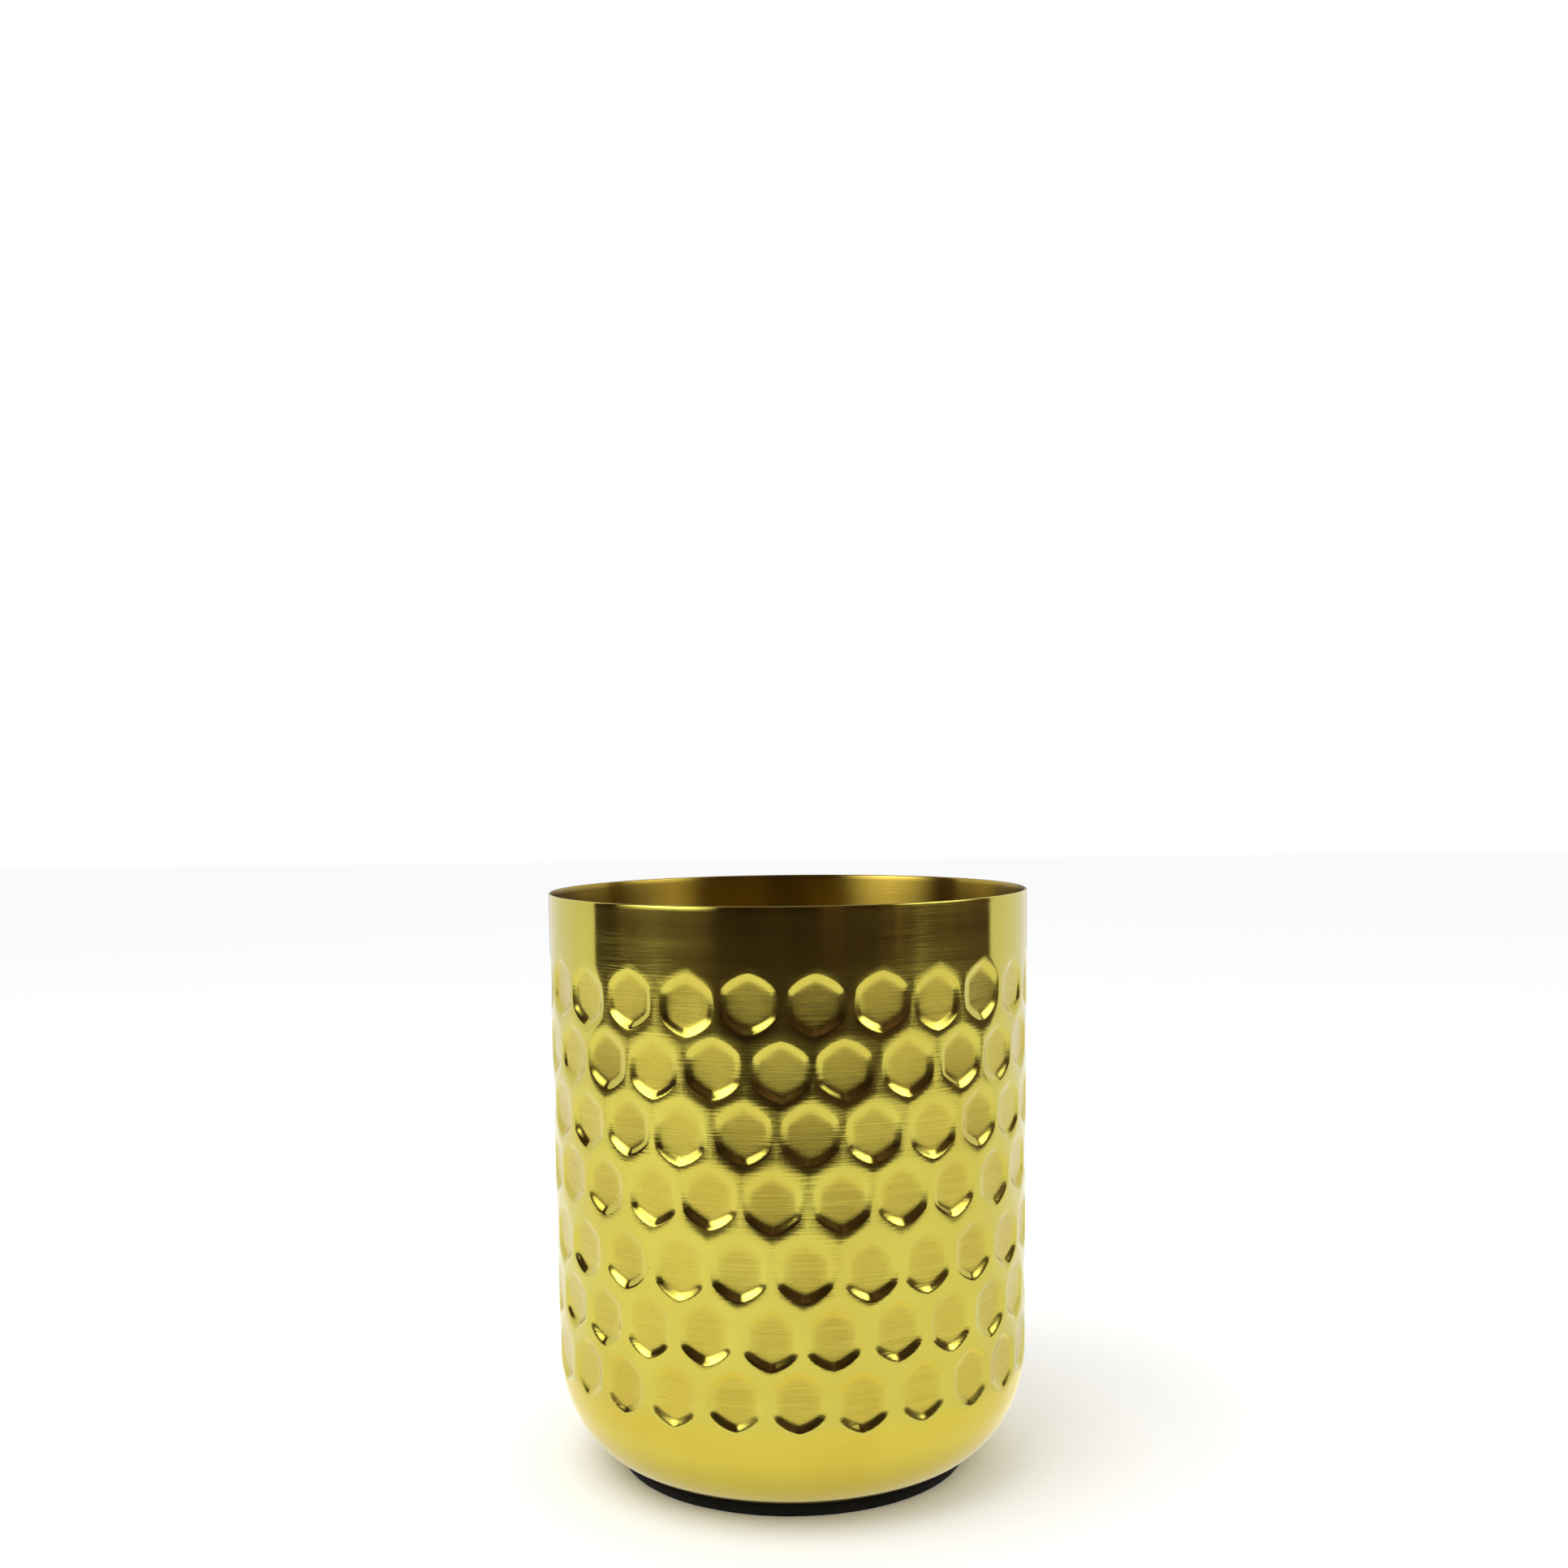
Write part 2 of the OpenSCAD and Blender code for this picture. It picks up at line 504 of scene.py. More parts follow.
    # No two strokes of the press are quite alike in depth or in lean.
    chances = []
    for salt in (1, 2, 3):
        seed = add(tree, MATH, given["Seed"], float(salt), operation="ADD")
        chances.append(
            add(
                tree,
                "FunctionNodeRandomValue",
                data_type="FLOAT",
                links={2: -1.0, 3: 1.0, "ID": number, "Seed": seed},
            ).outputs[1]
        )
    lean = add(tree, VECTOR, local, add(tree, JOIN_XYZ, *chances[:2]), operation="DOT_PRODUCT")
    lean = add(tree, MATH, lean.outputs["Value"], given["Lean"], operation="MULTIPLY")
    up = add(tree, SPLIT_XYZ, local).outputs["Y"]
    droop = add(tree, MATH, up, given["Droop"], operation="MULTIPLY")
    lean = add(tree, MATH, lean, droop, operation="SUBTRACT")
    change = add(tree, MATH, chances[2], given["Depth change"], operation="MULTIPLY")
    change = add(tree, MATH, lean, change, operation="ADD")
    change = add(tree, MATH, change, held, operation="MULTIPLY")
    share = add(tree, MATH, flat["Z"], given["Depth"], operation="DIVIDE")
    depth = add(tree, MATH, share, change, flat["Z"], operation="MULTIPLY_ADD")

    # Roll it up: the sheet's X goes round the axis and its Y goes down the section.
    around = add(tree, MATH, columns, given["Spacing"], operation="MULTIPLY")
    turn = add(tree, MATH, flat["X"], around, operation="DIVIDE")
    turn = add(tree, MATH, turn, math.tau, operation="MULTIPLY")
    turn = add(tree, MATH, turn, given["Start"], operation="ADD")
    along = add(tree, MATH, given["Top row"], flat["Y"], operation="SUBTRACT")
    section = add(tree, "GeometryNodeObjectInfo", given["Section"]).outputs["Geometry"]
    sampled = add(
        tree, "GeometryNodeSampleCurve", mode="LENGTH", links={"Curves": section, "Length": along}
    ).outputs
    way = add(tree, SPLIT_XYZ, sampled["Tangent"]).outputs
    spot = add(tree, SPLIT_XYZ, sampled["Position"]).outputs
    radius = add(tree, MATH, way["Z"], depth, spot["X"], operation="MULTIPLY_ADD")
    sink = add(tree, MATH, way["X"], depth, operation="MULTIPLY")
    height = add(tree, MATH, spot["Z"], sink, operation="SUBTRACT")
    forward = add(tree, MATH, radius, add(tree, MATH, turn, operation="COSINE"), operation="MULTIPLY")
    sideways = add(tree, MATH, radius, add(tree, MATH, turn, operation="SINE"), operation="MULTIPLY")
    rolled = add(tree, JOIN_XYZ, forward, sideways, height)
    for name, value in (("along", along), ("pressed", share)):
        stored = {"Name": name, "Value": value}
        sheet = add(tree, STORE, sheet, data_type="FLOAT", domain="POINT", links=stored)
    sheet = add(tree, "GeometryNodeSetPosition", sheet, links={"Position": rolled})
    sheet = add(tree, "GeometryNodeMergeByDistance", sheet, links={"Distance": MERGE})
    sheet = add(tree, "GeometryNodeFlipFaces", sheet, given["Inside"])
    inner = {"Name": "inner", "Value": given["Inside"]}
    sheet = add(tree, STORE, sheet, data_type="BOOLEAN", domain="FACE", links=inner)
    add(tree, "NodeGroupOutput", sheet)
    return tree


def pot_tree(sheet, shared, faces):
    """Joins the outside and the inside of the sheet at the rim.

    shared holds the values that both faces use, and faces the values that differ, one
    dictionary for each face. Each becomes a named input of the tree.
    """
    tree = bpy.data.node_groups.new("Pressed brass pot", "GeometryNodeTree")
    tree.interface.new_socket("Geometry", in_out="INPUT", socket_type="NodeSocketGeometry")
    tree.interface.new_socket("Geometry", in_out="OUTPUT", socket_type="NodeSocketGeometry")
    kinds = {s.name: s.socket_type for s in sheet.interface.items_tree if s.in_out == "INPUT"}
    for name in shared:
        tree.interface.new_socket(name, in_out="INPUT", socket_type=kinds[name])
    for face, values in faces.items():
        for name in values:
            tree.interface.new_socket(f"{face} {name}", in_out="INPUT", socket_type=kinds[name])
        finish = f"{face} Material"
        tree.interface.new_socket(finish, in_out="INPUT", socket_type="NodeSocketMaterial")
    given = add(tree, "NodeGroupInput").outputs
    joined = add(tree, "GeometryNodeJoinGeometry")
    for face, values in faces.items():
        links = {name: given[name] for name in shared}
        links.update({name: given[f"{face} {name}"] for name in values})
        group = add(tree, "GeometryNodeGroup", node_tree=sheet)
        for name, socket in links.items():
            tree.links.new(socket, group.inputs[name])
        tree.links.new(group.outputs[0], joined.inputs[0])
    mesh = add(tree, "GeometryNodeMergeByDistance", joined, links={"Distance": MERGE})
    mesh = add(tree, "GeometryNodeSetShadeSmooth", mesh)
    mesh = add(tree, "GeometryNodeRealizeInstances", mesh)
    mesh = add(tree, "GeometryNodeSetMaterial", mesh, True, given["Outside Material"])
    inner = add(tree, NAMED, "inner", data_type="BOOLEAN")
    mesh = add(tree, "GeometryNodeSetMaterial", mesh, inner, given["Inside Material"])
    add(tree, "NodeGroupOutput", mesh)
    return tree


def evaluated(obj):
    """Turns an object's live Geometry Nodes result into its own plain mesh."""
    graph = bpy.context.evaluated_depsgraph_get()
    mesh = bpy.data.meshes.new_from_object(obj.evaluated_get(graph))
    mesh.name = obj.name
    obj.modifiers.clear()
    obj.data = mesh


def set_inputs(modifier, values):
    """Sets a Geometry Nodes modifier's inputs by the names that the tree gives them."""
    for item in modifier.node_group.interface.items_tree:
        if item.in_out == "INPUT" and item.name in values:
            modifier[item.identifier] = values[item.name]


# ---------------------------------------------------------------------------------------
# Materials
# ---------------------------------------------------------------------------------------


def new_material(name):
    """An empty node material, its tree and its shader."""
    made = bpy.data.materials.new(name)
    made.use_nodes = True
    tree = made.node_tree
    tree.nodes.clear()
    shader = add(tree, "ShaderNodeBsdfPrincipled")
    add(tree, "ShaderNodeOutputMaterial", shader)
    return made, tree, shader


def brass_material(name, light, shade, roughness, brushing):
    """Brass spun on a lathe, brushed there with an abrasive and lacquered.

    Spinning and brushing leave fine rings round the pot, which blur what it mirrors up and
    down but hardly sideways. The press leaves the floors of the dimples rougher than the wall.
    The lacquer is thicker in random places and darkens the metal there. The dimple floors are
    painted darker too, as painted shade in their hollows.
    """
    made, tree, shader = new_material(name)
    shader.inputs["Metallic"].default_value = 1.0
    shader.inputs["Anisotropic"].default_value = 0.8
    shader.inputs["Anisotropic Rotation"].default_value = 0.25
    place = add(tree, "ShaderNodeTexCoord").outputs["Object"]
    along = add(tree, "ShaderNodeAttribute", attribute_name="along").outputs["Fac"]
    pressed = add(tree, "ShaderNodeAttribute", attribute_name="pressed").outputs["Fac"]

    # The brushing is a tenth of a millimetre apart. It is drawn at 0.7 mm so that it shows.
    rings = add(tree, MATH, along, 1 / (0.7 * MM), operation="MULTIPLY")
    rings = add(tree, JOIN_XYZ, 0.0, 0.0, rings)
    rings = add(tree, VECTOR, place, (40, 40, 0), rings, operation="MULTIPLY_ADD")
    fineness = {"Scale": 1.0, "Detail": 3.0, "Roughness": 0.6}
    brush = add(tree, "ShaderNodeTexNoise", rings, links=fineness)
    # The abrasive bites harder in patches, where its lines show across the wall and the floors.
    bite = add(tree, "ShaderNodeTexNoise", place, links={"Scale": 1 / (30 * MM), "Detail": 1.0})
    bite = add(tree, "ShaderNodeMapRange", bite, 0.45, 0.62, brushing, 1.9 * brushing)
    groove = {"Height": brush, "Strength": bite, "Distance": 0.06 * MM}
    bump = add(tree, "ShaderNodeBump", links=groove)
    tree.links.new(bump.outputs[0], shader.inputs["Normal"])

    # Wider bands of the lathe tool, about 6 mm apart, are a little smoother or rougher.
    bands = add(tree, MATH, along, 1 / (6 * MM), operation="MULTIPLY")
    bands = add(tree, JOIN_XYZ, 0.0, 0.0, bands)
    bands = add(tree, VECTOR, place, (12, 12, 0), bands, operation="MULTIPLY_ADD")
    bands = add(tree, "ShaderNodeTexNoise", bands, links={"Scale": 1.0, "Detail": 2.0})
    rough = add(tree, "ShaderNodeMapRange", bands, 0.3, 0.7, roughness - 0.02, roughness + 0.02)
    # The press leaves the floor of a dimple satin, and its bevels as smooth as the wall.
    satin = add(tree, "ShaderNodeMapRange", pressed, 0.4, 0.95, interpolation_type="SMOOTHSTEP")
    # On the satin floors the brushing also shows as lines that are rougher and a little duller.
    lines = add(tree, "ShaderNodeMapRange", brush, 0.35, 0.65, 0.1, 0.18)
    rough = add(tree, MATH, satin, lines, rough, operation="MULTIPLY_ADD")
    tree.links.new(rough.outputs[0], shader.inputs["Roughness"])

    cloud = add(tree, "ShaderNodeTexNoise", place, links={"Scale": 1 / (26 * MM), "Detail": 3.0})
    cloud = add(tree, "ShaderNodeMapRange", cloud, 0.4, 0.75, 0.0, 0.3)
    # The dimple floors are also painted darker, towards the shade colour and streaked by the brushing:
    # painted shade in their hollows.
    lines = add(tree, "ShaderNodeMapRange", brush, 0.35, 0.65, 0.2, 0.4)
    cloud = add(tree, MATH, satin, lines, cloud, operation="MULTIPLY_ADD")
    tones = {6: (*light, 1), 7: (*shade, 1)}
    base = add(tree, "ShaderNodeMix", cloud, data_type="RGBA", links=tones)
    # A few specks of dust, about 0.4 mm across, are caught under the lacquer.
    specks = add(tree, "ShaderNodeTexVoronoi", place, links={"Scale": 1 / (9 * MM)}).outputs["Distance"]
    specks = add(tree, "ShaderNodeMapRange", specks, 0.018, 0.03, 0.7, 0.0)
    dust = tuple(0.12 * share for share in shade)
    tones = {6: base.outputs[2], 7: (*dust, 1)}
    base = add(tree, "ShaderNodeMix", specks, data_type="RGBA", links=tones)
    tree.links.new(base.outputs[2], shader.inputs["Base Color"])
    round_axis = add(tree, "ShaderNodeTangent", direction_type="RADIAL", axis="Z")
    tree.links.new(round_axis.outputs[0], shader.inputs["Tangent"])
    return made


def felt_material(colours):
    """Pressed black felt: matt and slightly fuzzy, with single fibres that catch the light."""
    made, tree, shader = new_material("Pressed felt")
    shader.inputs["Sheen Weight"].default_value = 0.05
    shader.inputs["Sheen Roughness"].default_value = 0.6
    shader.inputs["Roughness"].default_value = 0.95
    shader.inputs["Specular IOR Level"].default_value = 0.08
    place = add(tree, "ShaderNodeTexCoord").outputs["Object"]
    # Felt fibres are 0.03 mm thick. Their tufts, about 0.4 mm across, are what shows.
    tufts = add(tree, "ShaderNodeTexNoise", place, links={"Scale": 1 / (0.4 * MM), "Detail": 4.0})
    flecks = add(tree, "ShaderNodeMapRange", tufts, 0.5, 0.72)
    tones = {6: (*colours.felt, 1), 7: (*colours.felt_fibre, 1)}
    base = add(tree, "ShaderNodeMix", flecks, data_type="RGBA", links=tones)
    tree.links.new(base.outputs[2], shader.inputs["Base Color"])
    bump = add(tree, "ShaderNodeBump", links={"Height": tufts, "Strength": 0.5, "Distance": 0.2 * MM})
    tree.links.new(bump.outputs[0], shader.inputs["Normal"])
    return made


def tape_material(colours):
    """Double-sided adhesive film: a pale, slightly cloudy plastic."""
    made, tree, shader = new_material("Adhesive film")
    place = add(tree, "ShaderNodeTexCoord").outputs["Object"]
    cloud = add(tree, "ShaderNodeTexNoise", place, links={"Scale": 1 / (6 * MM), "Detail": 2.0})
    rough = add(tree, "ShaderNodeMapRange", cloud, 0.3, 0.7, 0.35, 0.6)
    tree.links.new(rough.outputs[0], shader.inputs["Roughness"])
    tone = add(tree, "ShaderNodeMapRange", cloud, 0.3, 0.7, 0.9, 1.0)
    base = add(tree, VECTOR, colours.tape, operation="SCALE", links={"Scale": tone})
    tree.links.new(base.outputs[0], shader.inputs["Base Color"])
    return made


# ---------------------------------------------------------------------------------------
# Operators, one for each piece
# ---------------------------------------------------------------------------------------


class PLANTER_OT_shell(bpy.types.Operator):
    """Make the dimpled brass pot from its flat sheet"""

    bl_idname = "planter.shell"
    bl_label = "Brass pot"

    def execute(self, context):
        pot, colours = context.scene.planter_sizes, context.scene.planter_colours
        layout = Layout(pot)
        floor, edge = pot.floor_width / 2, pot.dimple_width / 2
        bevel = edge - floor
        # The last ring keeps clear of the next dimple, however far the two of them stray.
        clear, last_round = 0.08 * MM, 0.7
        room = layout.spacing / 2 - pot.hand_drift - clear
        last = min(edge, room / (1 + (ROUND_SIZE - 1) * last_round))
        # Each ring is (distance from the middle to its sides, share of the depth, roundness).
        outside_rings = [
            (floor * 0.5, 0.965, 0.6),
            (floor * 0.8, 0.91, 0.5),
            (floor - 0.04 * bevel, 0.855, 0.42),
            (floor + 0.1 * bevel, 0.785, 0.4),
            (floor + 0.28 * bevel, 0.64, 0.42),
            (floor + 0.52 * bevel, 0.4, 0.5),
            (floor + 0.73 * bevel, 0.18, 0.58),
            (floor + 0.88 * bevel, 0.06, 0.66),
            (last, 0.0, last_round),
        ]
        inside_rings = [
            (floor * 0.9, 0.94, 0.45),
            (floor + 0.1 * bevel, 0.8, 0.42),
            (floor + 0.65 * bevel, 0.28, 0.55),
            (last, 0.0, last_round),
        ]
        helpers = []
        faces = {}
        materials = {
            "Outside": brass_material(
                "Lacquered spun brass", colours.brass, colours.brass_lacquer_and_painted_shade, 0.13, 0.38
            ),
            # The inside's colours are painted darker, as the shade inside the pot.
            "Inside": brass_material(
                "Spun brass inside", colours.inside, colours.inside_dull_and_painted_shade, 0.24, 0.17
            ),
        }
        for face, side, rings, curve_rows in (
            ("Outside", 1, outside_rings, 18),
            ("Inside", -1, inside_rings, 10),
        ):
            end = layout.section_length(side)
            # Rows of points round the rim's edge, and then at distances below it.
            upper = [layout.top_row - layout.edge_round * k for k in (0, 0.33, 0.66, 1.0)]
            upper += [layout.top_row - layout.edge_round - k * MM for k in (1.6, 3.0, 6.0, 12.0)]
            lowest_row = layout.top_row + (layout.rows - 1) * layout.pitch + pot.group_gap
            start = lowest_row + layout.tip + 2 * MM
            curve_end = end - layout.flat_r
            steps = [start + (curve_end - start) * k / curve_rows for k in range(curve_rows + 1)]
            steps += [curve_end + layout.flat_r * share for share in (0.05, 0.15, 0.4, 0.75, 1.0)]
            lower = [lowest_row - step for step in steps]
            dimple = dimple_tile(f"{face} dimple", layout, rings)
            above = strip_tile(f"{face} upper strip", layout, 1, upper[::-1])
            below = strip_tile(f"{face} lower strip", layout, -1, lower)
            section = section_curve(f"{face} section", layout.section(side))
            helpers += [dimple, above, below, section]
            faces[face] = {
                "Dimple": dimple,
                "Upper strip": above,
                "Lower strip": below,
                "Section": section,
                "Inside": side < 0,
            }
        shared = {
            "Columns": layout.columns,
            "Rows": layout.rows,
            "Upper rows": pot.upper_rows,
            "Spacing": layout.spacing,
            "Row pitch": layout.pitch,
            "Group gap": pot.group_gap,
            "Creep": pot.row_creep / math.tau * layout.columns * layout.spacing,
            "Start": pot.first_dimple - math.radians(90),
            "Top row": layout.top_row,
            "Drift": pot.hand_drift,
            "Depth": pot.dimple_depth,
            "Lean": math.tan(pot.press_lean),
            "Droop": math.tan(pot.press_droop),
            "Depth change": pot.depth_change,
            "Seed": 11,
        }
        shell = mesh_object("dimpled_shell", [], [])
        roll = shell.modifiers.new("Roll the sheet", "NODES")
        roll.node_group = pot_tree(sheet_tree(), shared, faces)
        values = dict(shared)
        for face, own in faces.items():
            values.update({f"{face} {name}": value for name, value in own.items()})
            values[f"{face} Material"] = materials[face]
        set_inputs(roll, values)
        evaluated(shell)
        drop(*helpers)
        if not shell.data.polygons:
            raise RuntimeError("The sheet came out empty")
        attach(shell, BODY)
        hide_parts("pot_shell")
        return {"FINISHED"}


class PLANTER_OT_pad(bpy.types.Operator):
    """Make the felt pad under the pot"""

    bl_idname = "planter.pad"
    bl_label = "Felt pad"

    def execute(self, context):
        pot, colours = context.scene.planter_sizes, context.scene.planter_colours
        radius, thick = pot.pad_diameter / 2, pot.pad_thickness
        # The pad's outline from the middle of its top, over its soft edge, to its underside.
        soft, around = 0.45 * MM, 360
        bend = [math.radians(90 * k / 4) for k in range(5)]
        inwards = (0.3, 0.6, 0.85, 0.95)
        edge = radius - soft
        rings = [(radius * share, thick) for share in inwards]
        rings += [(edge + soft * math.sin(a), thick - soft + soft * math.cos(a)) for a in bend]
        rings += [(radius, thick * share) for share in (0.62, 0.38)]
        rings += [(edge + soft * math.cos(a), soft - soft * math.sin(a)) for a in bend]
        rings += [(radius * share, 0) for share in inwards[::-1]]
        points = [(0, 0, thick)]
        for r, z in rings:
            for k in range(around):
                a = math.tau * k / around
                way = Vector((math.cos(a), math.sin(a), 0))
                spot = way * r + Vector((0, 0, z))
                # A die cuts felt a little unevenly, and its edge is slightly furry.
                if r > radius - 2 * soft:
                    fur = noise.noise(spot * 900) * 0.12 * MM
                    wander = noise.noise(spot * 60) * 0.15 * MM
                    spot -= way * (0.2 * MM - fur - wander)
                points.append(tuple(spot))
        points.append((0, 0, 0))
        faces = [(0, 1 + k, 1 + (k + 1) % around) for k in range(around)]
        faces += ring_faces(len(rings), around, 1)
        last = 1 + (len(rings) - 1) * around
        under = len(points) - 1
        faces += [(under, last + (k + 1) % around, last + k) for k in range(around)]
        pad = mesh_object("felt_pad", points, faces)
        pad.data.shade_smooth()
        pad.data.materials.append(felt_material(colours))
        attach(pad, BODY)
        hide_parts("base_pad")
        return {"FINISHED"}


class PLANTER_OT_film(bpy.types.Operator):
    """Give the adhesive film its finish"""

    bl_idname = "planter.film"
    bl_label = "Adhesive film"

    def execute(self, context):
        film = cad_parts["pad_adhesive"]
        film.data.materials.clear()
        film.data.materials.append(tape_material(context.scene.planter_colours))
        return {"FINISHED"}


# ---------------------------------------------------------------------------------------
# The studio: the table, the cards that the brass mirrors, the lamps and the camera
# ---------------------------------------------------------------------------------------


def card(name, points, faces, strength, tint="FFFFFF", streaks=0.0):
    """A card that only mirrors see: it shows in the brass, but casts no light or shadow."""
    made = mesh_object(name, points, faces)
    surface = bpy.data.materials.new(name)
    surface.use_nodes = True
    tree = surface.node_tree
    tree.nodes.clear()
    place = add(tree, "ShaderNodeTexCoord").outputs["Object"]
    upright = add(tree, VECTOR, place, (3.5, 3.5, 0), operation="MULTIPLY")
    change = add(tree, "ShaderNodeTexNoise", upright, links={"Scale": 1.0, "Detail": 4.0})
    low, high = strength * (1 - streaks), strength * (1 + streaks)
    level = add(tree, "ShaderNodeMapRange", change, 0.35, 0.65, low, high)
    glow = add(tree, "ShaderNodeEmission", (*hex_colour(tint), 1), level)
    add(tree, "ShaderNodeOutputMaterial", glow)
    made.data.materials.append(surface)
    for ray in ("camera", "diffuse", "shadow", "transmission", "volume_scatter"):
        setattr(made, f"visible_{ray}", False)
    return made


def compass(degrees, distance, height):
    """A point round the pot. 0 degrees is the front and 90 is to the camera's right."""
    a = math.radians(degrees)
    return (math.sin(a) * distance, -math.cos(a) * distance, height)


def fade_card(made, shares):
    """Makes a card brighter or darker from point to point, by a share for each point."""
    fade = made.data.attributes.new("fade", "FLOAT", "POINT")
    for value, share in zip(fade.data, shares):
        value.value = share
    tree = made.data.materials[0].node_tree
    glow = next(node for node in tree.nodes if node.type == "EMISSION")
    level = glow.inputs["Strength"].links[0].from_socket
    share = add(tree, "ShaderNodeAttribute", attribute_name="fade").outputs["Fac"]
    faded = add(tree, MATH, level, share, operation="MULTIPLY")
    tree.links.new(faded.outputs[0], glow.inputs["Strength"])


def soft_lamp(name, turn, rise, wide, tall, strength, away=1.2, steps=12):
    """A lamp behind a diffuser: a card that is bright in its middle and fades to its edges.

    turn and rise say where its middle is, and wide and tall how far it reaches either way,
    all in degrees as seen from the pot.
    """
    spread = [2 * k / steps - 1 for k in range(steps + 1)]
    grid = [(across, up) for up in spread for across in spread]
    points = [
        compass(turn + wide * across, away, away * math.tan(math.radians(rise + tall * up)))
        for across, up in grid
    ]
    row = steps + 1
    faces = [
        (row * j + k, row * j + k + 1, row * j + row + k + 1, row * j + row + k)
        for j in range(steps)
        for k in range(steps)
    ]
    shares = [0.03 + (1 - x**2) * (1 - y**2) for x, y in grid]
    fade_card(card(name, points, faces, strength), shares)


# The studio is in metres, and its turns round the pot are compass degrees.
ROOM_LEFT, ROOM_RIGHT = -100.0, 107.0  # where the dark room starts and stops
ROOM_REACH = 1.6  # from the pot to the room's wall
ROOM_WIDE = 2.0  # from the pot to the sides of its floor and ceiling
ROOM_EYE, ROOM_HIGH = 0.35, 1.9  # where the wall starts to get lighter, and the ceiling
ROOM_DARK, ROOM_TINT = 0.045, "FFC8D8"
TABLE_EDGE, TABLE_SIDE = 0.47, 0.85  # from the pot to the table's front edge and to its sides


def screen(turns, heights):
    """Points and faces of an upright screen round the pot."""
    wide = len(turns)
    points = [compass(turn, ROOM_REACH, height) for height in heights for turn in turns]
    faces = [
        (row + k, row + k + 1, row + wide + k + 1, row + wide + k)
        for row in range(0, wide * (len(heights) - 1), wide)
        for k in range(wide - 1)
    ]
    return points, faces


def table(colours):
    """The table top, of white paper."""
    half = 4.0
    corners = [(-half, -half, 0), (half, -half, 0), (half, half, 0), (-half, half, 0)]
    top = mesh_object("table", corners, [(0, 1, 2, 3)])
    paper, tree, shader = new_material("White seamless paper")
    place = add(tree, "ShaderNodeTexCoord").outputs["Object"]
    grain = add(tree, "ShaderNodeTexNoise", place, links={"Scale": 1 / (1.2 * MM)})
    relief = {"Height": grain, "Strength": 0.05, "Distance": 0.1 * MM}
    bump = add(tree, "ShaderNodeBump", links=relief)
    tree.links.new(bump.outputs[0], shader.inputs["Normal"])
    shader.inputs["Base Color"].default_value = (*colours.floor, 1)
    shader.inputs["Roughness"].default_value = 0.9
    top.data.materials.append(paper)


def room():
    """The dark room in front of the table: its wall, its ceiling and its floor."""
    stretches = (
        (ROOM_LEFT, -86.0, 1.3),
        (-86.0, -31.0, 2.4),
        (-31.0, 15.0, 0.55),
        (15.0, 18.0, 1.6),
        (18.0, 49.0, 1.4),
        (49.0, 53.0, 3.2),
        (53.0, ROOM_RIGHT, 1.8),
    )
    for number, (start, stop, level) in enumerate(stretches, 1):
        steps = math.ceil((stop - start) / 3)
        turns = [start + (stop - start) * k / steps for k in range(steps + 1)]
        points, faces = screen(turns, (0.0, ROOM_EYE, ROOM_HIGH))
        wall = card(f"room_wall_{number}", points, faces, ROOM_DARK * level, ROOM_TINT, 0.6)
        fade_card(wall, [1.0] * (2 * len(turns)) + [3.0 / level] * len(turns))

    for name, front, back, level in (
        ("front_ceiling", -ROOM_WIDE, -0.2, 0.13),
        ("back_ceiling", -0.2, ROOM_WIDE, 0.32),
    ):
        ends = ((-ROOM_WIDE, front), (ROOM_WIDE, front), (ROOM_WIDE, back), (-ROOM_WIDE, back))
        card(name, [(x, y, ROOM_HIGH) for x, y in ends], [(0, 1, 2, 3)], level)

    # Past the table's front edge the floor is dark. At its sides the dark stops with the room.
    behind_left = math.tan(math.radians(-90 - ROOM_LEFT))
    behind_right = math.tan(math.radians(ROOM_RIGHT - 90))
    corners = [
        (-ROOM_WIDE, -ROOM_WIDE),
        (ROOM_WIDE, -ROOM_WIDE),
        (ROOM_WIDE, -TABLE_EDGE),
        (-ROOM_WIDE, -TABLE_EDGE),
        (-TABLE_SIDE, -TABLE_EDGE),
        (-TABLE_SIDE, TABLE_SIDE * behind_left),
        (-ROOM_WIDE, ROOM_WIDE * behind_left),
        (TABLE_SIDE, -TABLE_EDGE),
        (ROOM_WIDE, ROOM_WIDE * behind_right),
        (TABLE_SIDE, TABLE_SIDE * behind_right),
    ]
    points = [(x, y, 4 * MM) for x, y in corners]
    faces = [(0, 1, 2, 3), (3, 4, 5, 6), (7, 2, 8, 9)]
    card("room_floor", points, faces, ROOM_DARK, ROOM_TINT, 0.4)


def back_screen():
    """A grey screen behind the pot, which gives the dimples at the back something to mirror."""
    points, faces = screen([162 + 4 * k for k in range(10)], (0.0, 1.2))
    card("back_screen", points, faces, 0.4)


def warm_shade():
    """A card painted with the pot's warm shade on the table, which its bottom curve mirrors:
    painted shade near the foot, and painted light further out.
    """
    rings = ((0.05, 0.7), (0.066, 0.9), (0.085, 1.2), (0.13, 1.25))  # radius and brightness
    around = 72
    points = [compass(360 * k / around, r, 0.6 * MM) for r, _ in rings for k in range(around)]
    shade = card("warm_shade", points, ring_faces(len(rings), around, 0), 1.0, "FFF6DC")
    fade_card(shade, [share for _, share in rings for _ in range(around)])


def key_light(scene):
    """A soft round lamp above the table that gives the pot its shadow."""
    key = bpy.data.lights.new("soft_key", "AREA")
    key.shape = "DISK"
    key.size = 1.2
    key.energy = 9.0
    lamp = bpy.data.objects.new("soft_key", key)
    turn = Matrix.Rotation(math.radians(-26), 4, "Y")
    lamp.matrix_world = Matrix.Translation((-0.5, -0.5, 1.4)) @ turn
    lamp.visible_glossy = False
    scene.collection.objects.link(lamp)


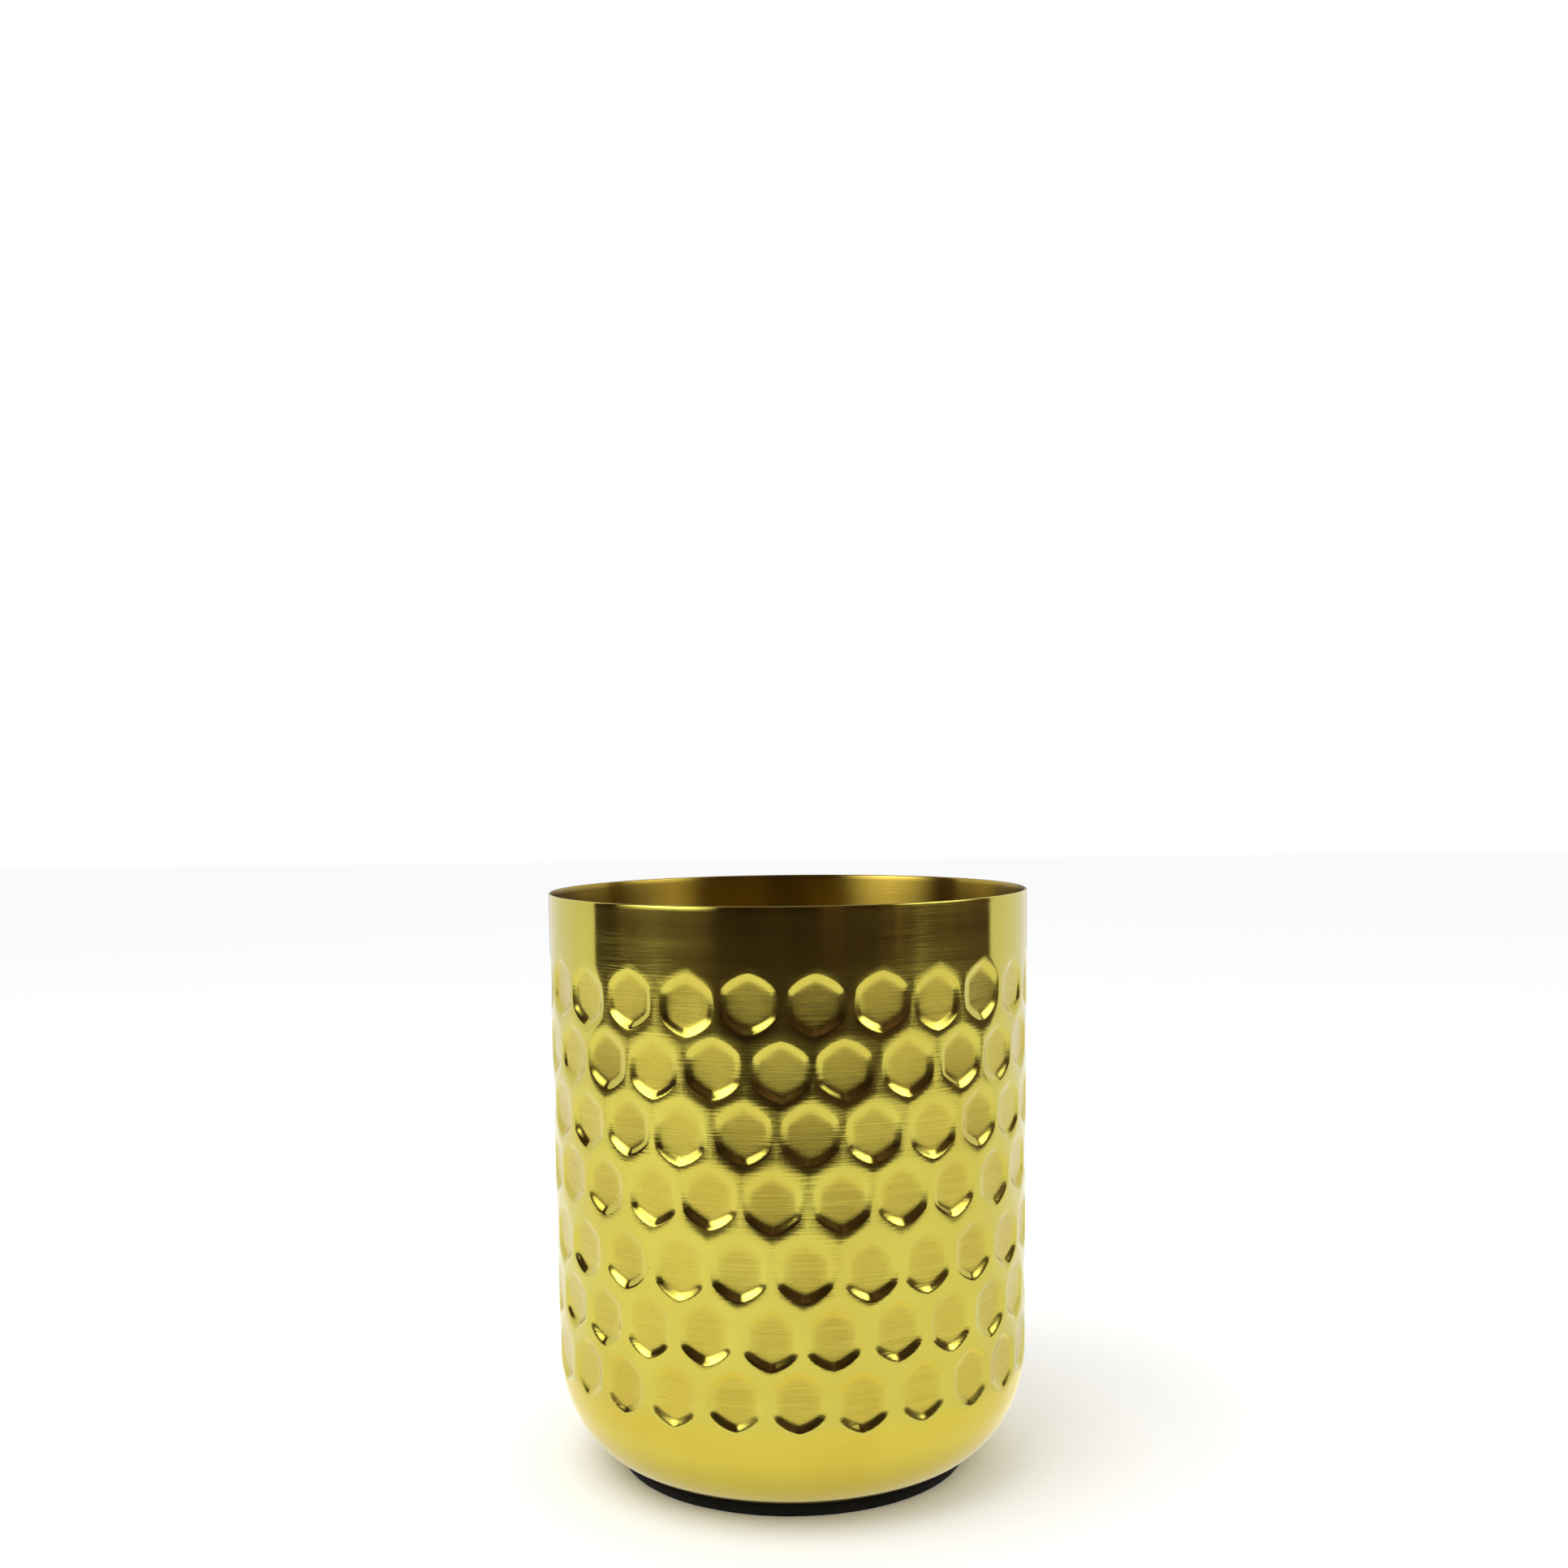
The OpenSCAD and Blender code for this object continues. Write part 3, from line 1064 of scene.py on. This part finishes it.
def camera(scene, studio):
    """The camera, in front of the pot."""
    data = bpy.data.cameras.new("camera")
    data.sensor_width = 36
    data.lens = studio.lens
    made = bpy.data.objects.new("camera", data)
    made.matrix_world = (
        Matrix.Translation((studio.offset, -studio.distance, studio.height))
        @ Matrix.Rotation(math.radians(90) - studio.tilt, 4, "X")
        @ Matrix.Rotation(studio.roll, 4, "Z")
    )
    scene.collection.objects.link(made)
    scene.camera = made


class PLANTER_OT_stage(bpy.types.Operator):
    """Set up the table, the studio and the camera"""

    bl_idname = "planter.stage"
    bl_label = "Studio"

    def execute(self, context):
        scene = context.scene
        table(scene.planter_colours)
        world = bpy.data.worlds.new("Soft studio")
        world.use_nodes = True
        background = world.node_tree.nodes["Background"]
        background.inputs["Color"].default_value = (1, 1, 1, 1)
        background.inputs["Strength"].default_value = 1.0
        scene.world = world
        scene.view_settings.view_transform = "Standard"
        room()
        back_screen()
        warm_shade()
        # Two soft lamps in front, to the left and to the right.
        soft_lamp("left_lamp", -58.0, 28.0, 26.0, 18.0, 5.5)
        soft_lamp("right_lamp", 76.0, 31.0, 26.0, 15.0, 5.0)
        key_light(scene)
        camera(scene, scene.studio_sizes)
        return {"FINISHED"}


class PLANTER_PT_panel(bpy.types.Panel):
    """Lists the pot's pieces and the studio"""

    bl_label = "Brass planter"
    bl_idname = "PLANTER_PT_panel"
    bl_space_type = "VIEW_3D"
    bl_region_type = "UI"
    bl_category = "Planter"

    def draw(self, context):
        column = self.layout.column()
        for step in STEPS:
            column.operator(step.bl_idname)
        scene = context.scene
        for group in (scene.planter_sizes, scene.planter_colours, scene.studio_sizes):
            for name in group.__annotations__:
                column.prop(group, name)


GROUPS = (PlanterSizes, PlanterColours, StudioSizes)
STEPS = (PLANTER_OT_shell, PLANTER_OT_pad, PLANTER_OT_film, PLANTER_OT_stage)
CLASSES = (*GROUPS, *STEPS, PLANTER_PT_panel)


def register():
    for one in CLASSES:
        bpy.utils.register_class(one)
    bpy.types.Scene.planter_sizes = PointerProperty(type=PlanterSizes)
    bpy.types.Scene.planter_colours = PointerProperty(type=PlanterColours)
    bpy.types.Scene.studio_sizes = PointerProperty(type=StudioSizes)


def unregister():
    del bpy.types.Scene.studio_sizes
    del bpy.types.Scene.planter_colours
    del bpy.types.Scene.planter_sizes
    for one in reversed(CLASSES):
        bpy.utils.unregister_class(one)


def main():
    register()
    bpy.ops.planter.shell()
    bpy.ops.planter.pad()
    bpy.ops.planter.film()
    bpy.ops.planter.stage()


if __name__ == "__main__":
    main()
